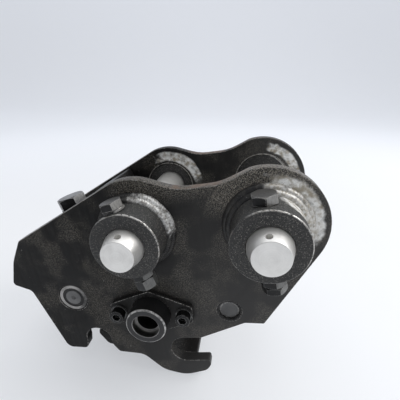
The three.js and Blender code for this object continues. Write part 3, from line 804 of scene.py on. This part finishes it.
# -------- side plates
def plate_outline():
    return outline([
        (-272, -9.1, 7), (-288, -35, 50), (-299.8, -67, 5), (-277.5, -76, 8), (-253.5, -162.6, 10),
        (-226.5, -163, 6),
        *arc(*CLAW, REAR_MOUTH_R, 186, -8),
        (-190.5, -157, 5), (-184.5, -166.6, 5), (-153.5, -169.4, 16), (-131, -193.5, 26),
        (-104, -200.6, 34), (-76.5, -191, 14), (-71.2, -182, 5), (-72, -174.2, 2.5),
        *arc(*FRONT_MOUTH, FRONT_MOUTH_R, -90, -270),
        (-79.5, -140.6, 12), (-27.5, -117, 6), (-7, -117.4, 2.5),
        *arc(*FRONT["at"], FRONT_LOBE_R, -33.1, 104, 3),
        (-42, 43.2, 60), (-84, 41, 60),
        *arc(*REAR["at"], REAR_LOBE_R, 66, 116.1, 3),
    ])


def screw_centres():
    c, s = math.cos(FLANGE_TILT), math.sin(FLANGE_TILT)
    return [(PIVOT[0] + w * CAP_SCREW_AT * c, PIVOT[1] + w * CAP_SCREW_AT * s) for w in (-1, 1)]


for label, side in SIDES:
    holes = [circle(*FRONT["at"], 35.0), circle(*REAR["at"], 31.9), circle(*PIVOT, SHAFT_HOLE),
             circle(*TRUNNION, 17.8), circle(*CROSS_SHAFT, 13.6)]
    if side < 0:
        holes += [circle(*c, SCREW_HOLE, 40) for c in screw_centres()]
    y0, y1 = sorted((side * Y_IN, side * Y_OUT))
    detailed(f"side_plate_{label}", slab(plate_outline(), holes, y0, y1, 0.8), "frame", "plate_paint",
             plate_near_look if side < 0 else plate_far_look)


# -------- bosses, pins and their bolts
def boss_part(pin, b, side):
    foot, inner, face = Y_OUT + GAP, Y_IN + 3.0, b["face"]
    loop = outline([
        (b["bore"], inner, 0.8), (b["spigot"], inner, 1.2), (b["spigot"], foot), (b["r"], foot),
        (b["r"], face, 1.5), (b["bore"], face, 1.0),
    ], step=15)
    if side < 0:
        loop = [(r, -y) for r, y in loop][::-1]
    bolt = b["bolt"]
    lean = leaning(pin["at"], side * bolt["y"], bolt["tilt"])
    spots = []
    for t0, t1 in ((bolt["seat"], 60.0), (-60.0, -bolt["seat"])):
        spots.append(moved(spin([(0, t0), (bolt["spot"], t0), (bolt["spot"], t1), (0, t1)], 96), lean))
    return cut(turned(loop, pin["at"], 160), *spots)


def boss_weld(pin, b, side, seed, depth):
    y = side * Y_OUT
    out = b["weld"] - 0.2
    foot = 4.6
    low = ring_bead(pin["at"], b["r"] + out - foot, y + side * 0.1, side, foot, -12, 192, seed, depth=depth)
    high = ring_bead(pin["at"], b["r"] + 0.6, y + side * 4.4, side, 4.2, -50, 140, seed + 5, depth=depth)
    return joined(low, high)


def pin_part(pin, b):
    r, half, tip, t = pin["r"], pin["half"], pin["tip"], pin["tip_len"]
    chain = outline([(0, -half), (tip, -half, 0.7), (r, -half + t, 20), (r, half - t, 20), (tip, half, 0.7),
                     (0, half)], closed=False, step=10)
    drill = spin([(0, -40), (2.6, -40), (2.6, r - 4.5), (3.1, r - 2.6), (3.1, 40), (0, 40)], 40)
    y = b["face"] + b["hole"]
    drills = [moved(drill, leaning(pin["at"], side * y, b["hole_tilt"])) for side in (-1, 1)]
    return cut(turned(chain, pin["at"], 160), *drills)


def hex_radius(af, turn=0.0):
    def radius(a):
        b = (a - turn + math.pi / 6) % (math.pi / 3) - math.pi / 6
        return af / 2 / math.cos(b)
    return radius


def hex_part(af, z0, z1, bottom=False, bore=None, turn=0.0):
    """Hexagon prism with turned-off corners; one corner points to -y, turned by turn degrees."""
    radius = hex_radius(af, math.radians(turn))
    r0 = af / 2 * 0.975

    def drop(a):
        return (radius(a) - r0) * math.tan(math.radians(30))

    chain = [(bore or 0.0, z0)]
    if bottom:
        chain += [(r0, z0), (radius, lambda a: z0 + drop(a))]
    else:
        chain += [(radius, z0)]
    chain += [(radius, lambda a: z1 - drop(a)), (r0, z1)]
    if bore:
        chain += [(bore + 1.2, z1), (bore, z1 - 1.2), (bore, z0 + 1.2), (bore + 1.2, z0)]
        chain = chain[1:]
    else:
        chain += [(0.0, z1)]
    return spin(chain, 120)


def thread(r, pitch, z0, z1, n=48):
    """A threaded rod from z0 to z1, with a chamfer at z0."""
    depth = pitch * 0.55
    rows = max(8, int((z1 - z0) / pitch * 8))
    verts, faces = [], []
    for k in range(rows + 1):
        z = z0 + (z1 - z0) * k / rows
        for i in range(n):
            f = (z / pitch - i / n) % 1.0
            wave = abs(f - 0.5) * 2
            radius = r - depth * min(1.0, max(0.0, (wave - 0.12) / 0.76))
            radius = min(radius, r - depth + (z - z0))
            a = 2 * math.pi * i / n
            verts.append((radius * math.cos(a), radius * math.sin(a), z))
    for k in range(rows):
        for i in range(n):
            j = (i + 1) % n
            faces.append((k * n + i, k * n + j, (k + 1) * n + j, (k + 1) * n + i))
    for base, z in ((0, z0), (rows * n, z1)):
        verts.append((0, 0, z))
        faces += [(len(verts) - 1, base + i, base + (i + 1) % n) for i in range(n)]
    return verts, faces, [0] * len(faces)


def bolt_part(b):
    bolt = b["bolt"]
    under = bolt["seat"] + GAP
    flat = under + bolt["washer"]
    end = under + max(start + height for start, height, _ in b["nuts"].values()) + 1.4
    head = hex_part(bolt["af"], flat + 0.5, flat + bolt["head"], turn=bolt["turn"])
    parts = [head, spin([(0, -28), (bolt["r"], -28), (bolt["r"], flat + 0.5), (0, flat + 0.5)], 64),
             thread(bolt["r"], 1.75, -end, -27.5)]
    wide = bolt["af"] / 2 - 0.4
    face = outline([(0, flat), (wide, flat, 0.2), (wide, flat + 0.6, 0.2), (0, flat + 0.6)], False)
    parts.append(spin(face, 96))
    if bolt["washer"]:
        wide = bolt["af"] / 2 + 1.0
        washer = outline([(0, under), (wide, under, 0.3), (wide, flat, 0.4), (0, flat)], False, 20)
        parts.append(spin(washer, 96))
    return joined(*parts)


def nut_part(b, kind):
    start, height, turn = b["nuts"][kind]
    bolt = b["bolt"]
    top = -bolt["seat"] - GAP - start
    return hex_part(bolt["af"], top - height, top, bottom=True, bore=bolt["r"] - 0.2, turn=turn)


for tag, pin, b, seed, depth in (("front", FRONT, FRONT_BOSS, 11, 0.05), ("rear", REAR, REAR_BOSS, 47, 0.16)):
    for label, side in SIDES:
        spot = f"{tag}_{label}"
        detailed(f"boss_{spot}", boss_part(pin, b, side), "frame", "boss_paint", boss_look)
        weld = boss_weld(pin, b, side, seed + (100 if side > 0 else 0), depth)
        welded(f"boss_{spot}", weld, boss_weld_looks[tag])
        lean = leaning(pin["at"], side * b["bolt"]["y"], b["bolt"]["tilt"])
        detailed(f"lock_bolt_{spot}", moved(bolt_part(b), lean), "frame", "bolt_steel", bolt_steel_look)
        for kind, name in (("full", "lock_nut"), ("thin", "lock_jam_nut")):
            detailed(f"{name}_{spot}", moved(nut_part(b, kind), lean), "frame", "bolt_steel", nut_steel_look)
    detailed(f"arm_pin_{tag}", pin_part(pin, b), "frame", "pin_steel", pin_looks[tag])


# -------- cross members
def saddle_outline():
    x, z = FRONT_MOUTH
    r0, r1 = FRONT_MOUTH_R, SADDLE_R
    return outline([
        *arc(x, z, r0, 90, 270), (-89.5, z - r0, 1.5), (-89.5, z - r1, 3),
        *arc(x, z, r1, 270, 90), (-85, z + r1, 3), (-85, z + r0, 1.5),
    ])


def bar_outline(a, b, thickness, radius=2.0):
    along = (Vector(b) - Vector(a)).normalized()
    inward = Vector((along.y, -along.x)) * thickness
    corners = [Vector(a), Vector(b), Vector(b) + inward, Vector(a) + inward]
    return outline([(c.x, c.y, radius) for c in corners]), along, inward.normalized()


TIE = ((-220.2, 13.0), (-186.9, 29.3), 12.0)
REAR_BAR = ((-286.6, -66.0), (-270.4, -30.3), 8.0)
detailed("front_saddle", slab(saddle_outline(), [], -BAR_HALF, BAR_HALF, 0.8), "frame", "cross_paint",
         cross_look)
for name, (a, b, t), seed in (("upper_tie_plate", TIE, 210), ("rear_cross_plate", REAR_BAR, 230)):
    shape, along, inward = bar_outline(a, b, t)
    detailed(name, slab(shape, [], -BAR_HALF, BAR_HALF, 0.8), "frame", "cross_paint", cross_look)
    beads = []
    for side in (-1, 1):
        for k, (away, offset, radius) in enumerate(((-inward, 0.0, 1.2), (inward, t, 5.0))):
            p = Vector(a) + along * 2.5 + inward * offset
            q = Vector(b) - along * 2.5 + inward * offset
            y = side * (Y_IN + 0.1)
            beads.append(line_bead((p.x, y, p.y), (q.x, y, q.y), (away.x, 0, away.y), (0, -side, 0), radius,
                                   seed + k + 2 * side))
    welded(name, joined(*beads), dark_weld_look)

beads = []
for side in (-1, 1):
    x, z = FRONT_MOUTH
    t = np.radians(np.arange(92, 268, 0.9))
    e1 = np.stack([np.cos(t), 0 * t, np.sin(t)], 1)
    centre = np.array([x, side * (Y_IN + 0.1), z]) + e1 * SADDLE_R
    e2 = np.tile([0.0, -side, 0.0], (len(t), 1))
    beads.append(bead(centre, e1, e2, 4.6, -8, 98, 300 + side, closed=False))
welded("front_saddle", joined(*beads), dark_weld_look)

cr = CROSS_R
e = Y_OUT - 2.2
chain = outline([
    (0, -e), (cr - 4.2, -e, 0.4), (cr, -e + 1.6, 0.5), (cr, e - 1.6, 0.5), (cr - 4.2, e, 0.4), (0, e),
], closed=False, step=15)
chain = [(r, y, 1 if r > cr - 4.4 and abs(y) > e - 1.8 else 0) for r, y in chain]
detailed("cross_shaft", turned(chain, CROSS_SHAFT), "frame", "shaft_steel", cross_shaft_look, cross_rim_look)
sleeve = tube(cr + GAP, SLEEVE_R, -BAR_HALF, BAR_HALF, (0.6, 1.2, 1.2, 0.6))
detailed("cross_sleeve", turned(sleeve, CROSS_SHAFT), "frame", "cross_paint", cross_look)
beads = [ring_bead(CROSS_SHAFT, 21.2, side * (Y_IN + 0.1), -side, 4.4, -8, 98, 320 + side)
         for side in (-1, 1)]
beads += [ring_bead(CROSS_SHAFT, 13.0, side * (Y_OUT - 1.9), side, 1.75, -20, 200, 330 + side, pitch=2.8,
                    depth=0.55) for side in (-1, 1)]
welded("cross_sleeve", joined(*beads), dark_weld_look)

# -------- hook shaft and its keeper
loop = outline([
    (12, -96.25, 0.5), (14.5, -96.25, 0.3), (14.5, -105.25, 0.8), (22, -105.25, 2.2), (22, 88, 2.0),
    (12, 88, 1.2),
], step=15)
loop = [(r, y, 1 if r < 14.8 else 0) for r, y in loop]
detailed("hook_shaft", turned(loop, PIVOT, 144), "frame", "hook_shaft_steel", hook_shaft_look, bore_look)

c, s = math.cos(FLANGE_TILT), math.sin(FLANGE_TILT)
corners = [(-47, -10, 4), (0, -29, 6), (47, -10, 4), (47, 10, 4), (0, 29, 6), (-47, 10, 4)]
shape = outline([(PIVOT[0] + u * c - v * s, PIVOT[1] + u * s + v * c, r) for u, v, r in corners])
y1 = -Y_OUT - GAP
holes = [circle(*PIVOT, SHAFT_HOLE)] + [circle(*p, SCREW_HOLE, 40) for p in screw_centres()]
detailed("keeper_flange", slab(shape, holes, y1 - FLANGE_T, y1, 0.6), "frame", "flange_paint", flange_look)


def cap_screw_part():
    top, under, depth = 0.0, -10.0, 5.5
    key = hex_radius(8.0, math.radians(15))
    return spin([
        (0, top - depth), (key, top - depth), (key, top - 0.4), (lambda a: key(a) + 0.35, top),
        (6.9, top), (7.6, top - 0.35), (8.0, top - 1.1), (8.0, under + 0.3), (7.7, under), (5.0, under),
        (5.0, under - 21), (4.0, under - 22), (0, under - 22),
    ], 96)


for name, (px, pz) in zip(("cap_screw_rear", "cap_screw_front"), screw_centres()):
    flip = Matrix.Translation((0, -Y_OUT - GAP - FLANGE_T - GAP - 10.0, 0)) @ across_y(px, pz)
    flip = flip @ Matrix.Rotation(math.pi, 4, "X")
    washer = spin(outline([(5.2, -10.0), (9.3, -10.0, 0.2), (9.3, -8.9, 0.3), (5.2, -8.9)]), 80)
    detailed(name, moved(joined(cap_screw_part(), washer), flip), "frame", "cap_screw_steel", cap_screw_look)

loop = tube(SHAFT_HOLE, 28, Y_OUT + GAP, Y_OUT + 6, (0.5, 0.5, 1.2, 0.8))
detailed("shaft_ring", turned(loop, PIVOT), "frame", "spacer_steel", spacer_look)

RINGS = (
    ("hook_spacer", SHAFT_HOLE, 31, 50.3, BAR_HALF, (0.5, 0.9, 0.9, 0.5), PIVOT, "frame", "spacer_steel",
     spacer_look),
    ("hook_bush", 22.12, 26, 23.5, 49.5, (0.5, 0.4, 0.4, 0.8), PIVOT, "lock_hook", "bush_bronze",
     bronze_look),
    ("trunnion_collar", 17.8, 23.5, Y_IN - 0.6, Y_IN - 9.6, (0.5, 0.8, 0.8, 0.5), TRUNNION, "trunnion",
     "spacer_steel", collar_look),
)
for label, side in SIDES:
    for node, r0, r1, ya, yb, rounds, at, body, slot, look in RINGS:
        y0, y1 = sorted((side * ya, side * yb))
        detailed(f"{node}_{label}", turned(tube(r0, r1, y0, y1, rounds), at), body, slot, look)


# -------- lock hook
def swivel_centre():
    x, z = TRUNNION
    return x + SWIVEL_DROP * math.sin(SCREW_TILT), z - SWIVEL_DROP * math.cos(SCREW_TILT)


def hook_outline():
    ex, ez = swivel_centre()
    return outline([
        *arc(*PIVOT, 33, -75, 108), (-178, -84, 30), *arc(ex, ez, 12.5, 112, 228, 6),
        *arc(*CLAW, CLAW_R, 122, -128), (-225, -160.5, 3), (-226.5, -167.5, 5), (-217, -184.5, 9),
        (-199, -190, 22), (-175, -187.5, 12), (-156.5, -152, 22), (-139, -136.5, 14),
    ])


ex, ez = swivel_centre()
c, s = math.cos(SCREW_TILT), math.sin(SCREW_TILT)
slot = []
for way, a0 in ((1, -90), (-1, 90)):
    for x, z in arc(0, 0, 6.4, a0, a0 + 180, 12):
        u, v = x + way * 1.6, z
        slot.append((ex + u * c - v * s, ez + u * s + v * c))
window = outline([(-250, -70), (-186, -60), (-183, -112, 10), (-192, -130, 4), (-208, -134), (-250, -142)])
hook = slab(hook_outline(), [circle(*PIVOT, 26.15), slot], -HOOK_HALF, HOOK_HALF, 1.2)
hook = cut(hook, slab(window, [], -FORK_HALF, FORK_HALF, 0.01, 0))
detailed("lock_hook", hook, "lock_hook", "hook_paint", hook_look)

# -------- clamp screw
tr = TRUNNION_R
e = Y_OUT - 0.8
half_chain = [(tr, -1.4, 0.4), (tr - 0.6, 0.0, 0.3), (13.2, 0.0, 0.3), (12.8, -0.9, 0.2), (9.6, -0.9, 0.2),
              (9.2, 0.0, 0.3), (3.0, 0.0)]
chain = [(0, -e + 4)] + [(p[0], -e - p[1], *p[2:]) for p in half_chain[::-1]]
chain += [(p[0], e + p[1], *p[2:]) for p in half_chain] + [(0, e - 4)]
chain = outline(chain, closed=False, step=20)
# tag 2 marks the face groove, which takes the near-black painted shade look
chain = [(r, y, 1 if r > 12.9 and abs(y) > e - 1.6 else 2 if 9.4 < r < 12.9 and abs(y) > e - 2 else 0)
         for r, y in chain]
along_screw = leaning(TRUNNION, 0, SCREW_TILT)
bore = moved(spin([(0, -30), (11.4, -30), (11.4, 30), (0, 30)], 80), along_screw)
detailed("trunnion_bar", cut(turned(chain, TRUNNION, 144), bore), "trunnion", "shaft_steel", trunnion_look,
         trunnion_rim_look, trunnion_groove_shade_look)

d = SWIVEL_DROP
chain = outline([
    (0, -47), (5.2, -47), (6, -46.2), (6, -21.5, 0.4), (13, -21.5, 1.2), (13, 21.5, 1.2), (6, 21.5, 0.4),
    (6, 46.2), (5.2, 47), (0, 47)], closed=False, step=20)
hole = moved(spin([
    (0, -d - 30), (9.4, -d - 30), (9.4, -d - 8.2), (7.4, -d - 8.2), (7.4, -d + 30), (0, -d + 30),
], 80), along_screw)
detailed("swivel_block", cut(turned(chain, (ex, ez), 96), hole), "swivel", "shaft_steel", block_look)

top = SCREW_TOP
collar = outline([
    (0, top - 16.2), (17.0, top - 16.2, 0.5), (17.0, top - 14.9, 0.5), (16.0, top - 13.8), (0, top - 13.8),
], False, 20)
neck = [(0, -d - 12.6), (8, -d - 12.6), (9, -d - 11.6), (9, -d - 8.6), (7, -d - 8.6), (7, -d + 14.0),
        (0, -d + 14.0)]
screw = joined(hex_part(SCREW_AF, top - 14.0, top, turn=45.0), spin(collar, 120),
               thread(SCREW_R, SCREW_PITCH, -d + 13.4, top - 15.5), spin(neck, 64))
detailed("clamp_screw", moved(screw, along_screw), "screw", "screw_steel", clamp_screw_look)


# -------- floor and backdrop
def stage():
    k = Look("studio_floor")
    away = k.node("ShaderNodeVectorMath", operation="LENGTH")
    k.link(k.P, away.inputs[0])
    tone = k.step(k.noise(0.002, 2, 0.5), 0.3, 0.7)
    near = k.mix(tone, (0.42, 0.425, 0.435), (0.44, 0.444, 0.45))
    # painted light: the floor turns lighter towards the back and glows (emission), most near the object,
    # which lifts its shadows
    colour = k.mix(k.step(away.outputs["Value"], 400, 2000), near, (0.66, 0.68, 0.72))
    k.finish(Base_Color=colour, Roughness=k.blend(tone, 0.62, 0.7), Specular_IOR_Level=0.25,
             Normal=k.bump(k.noise(0.5, 3, 0.6), 0.03, 0.1), Emission_Color=(0.93, 0.955, 1.0),
             Emission_Strength=k.step(away.outputs["Value"], 200, 2600, 0.48, 0.34))
    verts, faces = [], []
    rows = [(-9.0, 0.0)]
    rows += [(2.6 + 1.6 * math.sin(a), 1.6 - 1.6 * math.cos(a)) for a in np.linspace(0, math.pi / 2, 24)]
    rows += [(4.2, 9.0)]
    for y, z in rows:
        verts += [(-9.0, y, z - 0.0005), (9.0, y, z - 0.0005)]
    for i in range(len(rows) - 1):
        faces.append((2 * i, 2 * i + 1, 2 * i + 3, 2 * i + 2))
    mesh = bpy.data.meshes.new("studio_floor")
    mesh.from_pydata(verts, [], faces)
    mesh.polygons.foreach_set("use_smooth", [True] * len(faces))
    mesh.materials.append(k.mat)
    obj = placed("studio_floor", mesh)


stage()


# -------- light
def lamp(name, place, aim, size, power, colour=(1, 1, 1)):
    light = bpy.data.lights.new(name, "AREA")
    light.shape = "RECTANGLE"
    light.size, light.size_y = size
    light.energy = power
    light.color = colour
    obj = placed(name, light)
    obj.location = place
    obj.rotation_euler = (Vector(aim) - Vector(place)).to_track_quat("-Z", "Y").to_euler()


lamp("key", (1.25, 0.15, 1.25), (0, 0, 0.15), (0.9, 0.9), 16, (1.0, 0.99, 0.98))
lamp("top", (0.1, 0.5, 2.6), (0, 0.4, 0.0), (3.2, 2.8), 28, (0.98, 0.99, 1.0))

world = bpy.data.worlds.new("studio")
world.use_nodes = True
world.node_tree.nodes["Background"].inputs["Color"].default_value = (0.94, 0.96, 1.0, 1)
world.node_tree.nodes["Background"].inputs["Strength"].default_value = 0.40
bpy.context.scene.world = world
bpy.context.scene.view_settings.view_transform = "Standard"

# -------- camera
data = bpy.data.cameras.new("camera")
data.sensor_width = 36.0
data.lens = 27.285
data.shift_x = 0.0018
data.shift_y = -0.0003
data.clip_start = 0.01
data.clip_end = 50.0
camera = placed("camera", data)
camera.location = (0.0913247, -0.3406229, 0.3396646)
camera.rotation_mode = "QUATERNION"
camera.rotation_quaternion = (0.8258568, 0.5588097, 0.0429376, 0.0620373)
bpy.context.scene.camera = camera
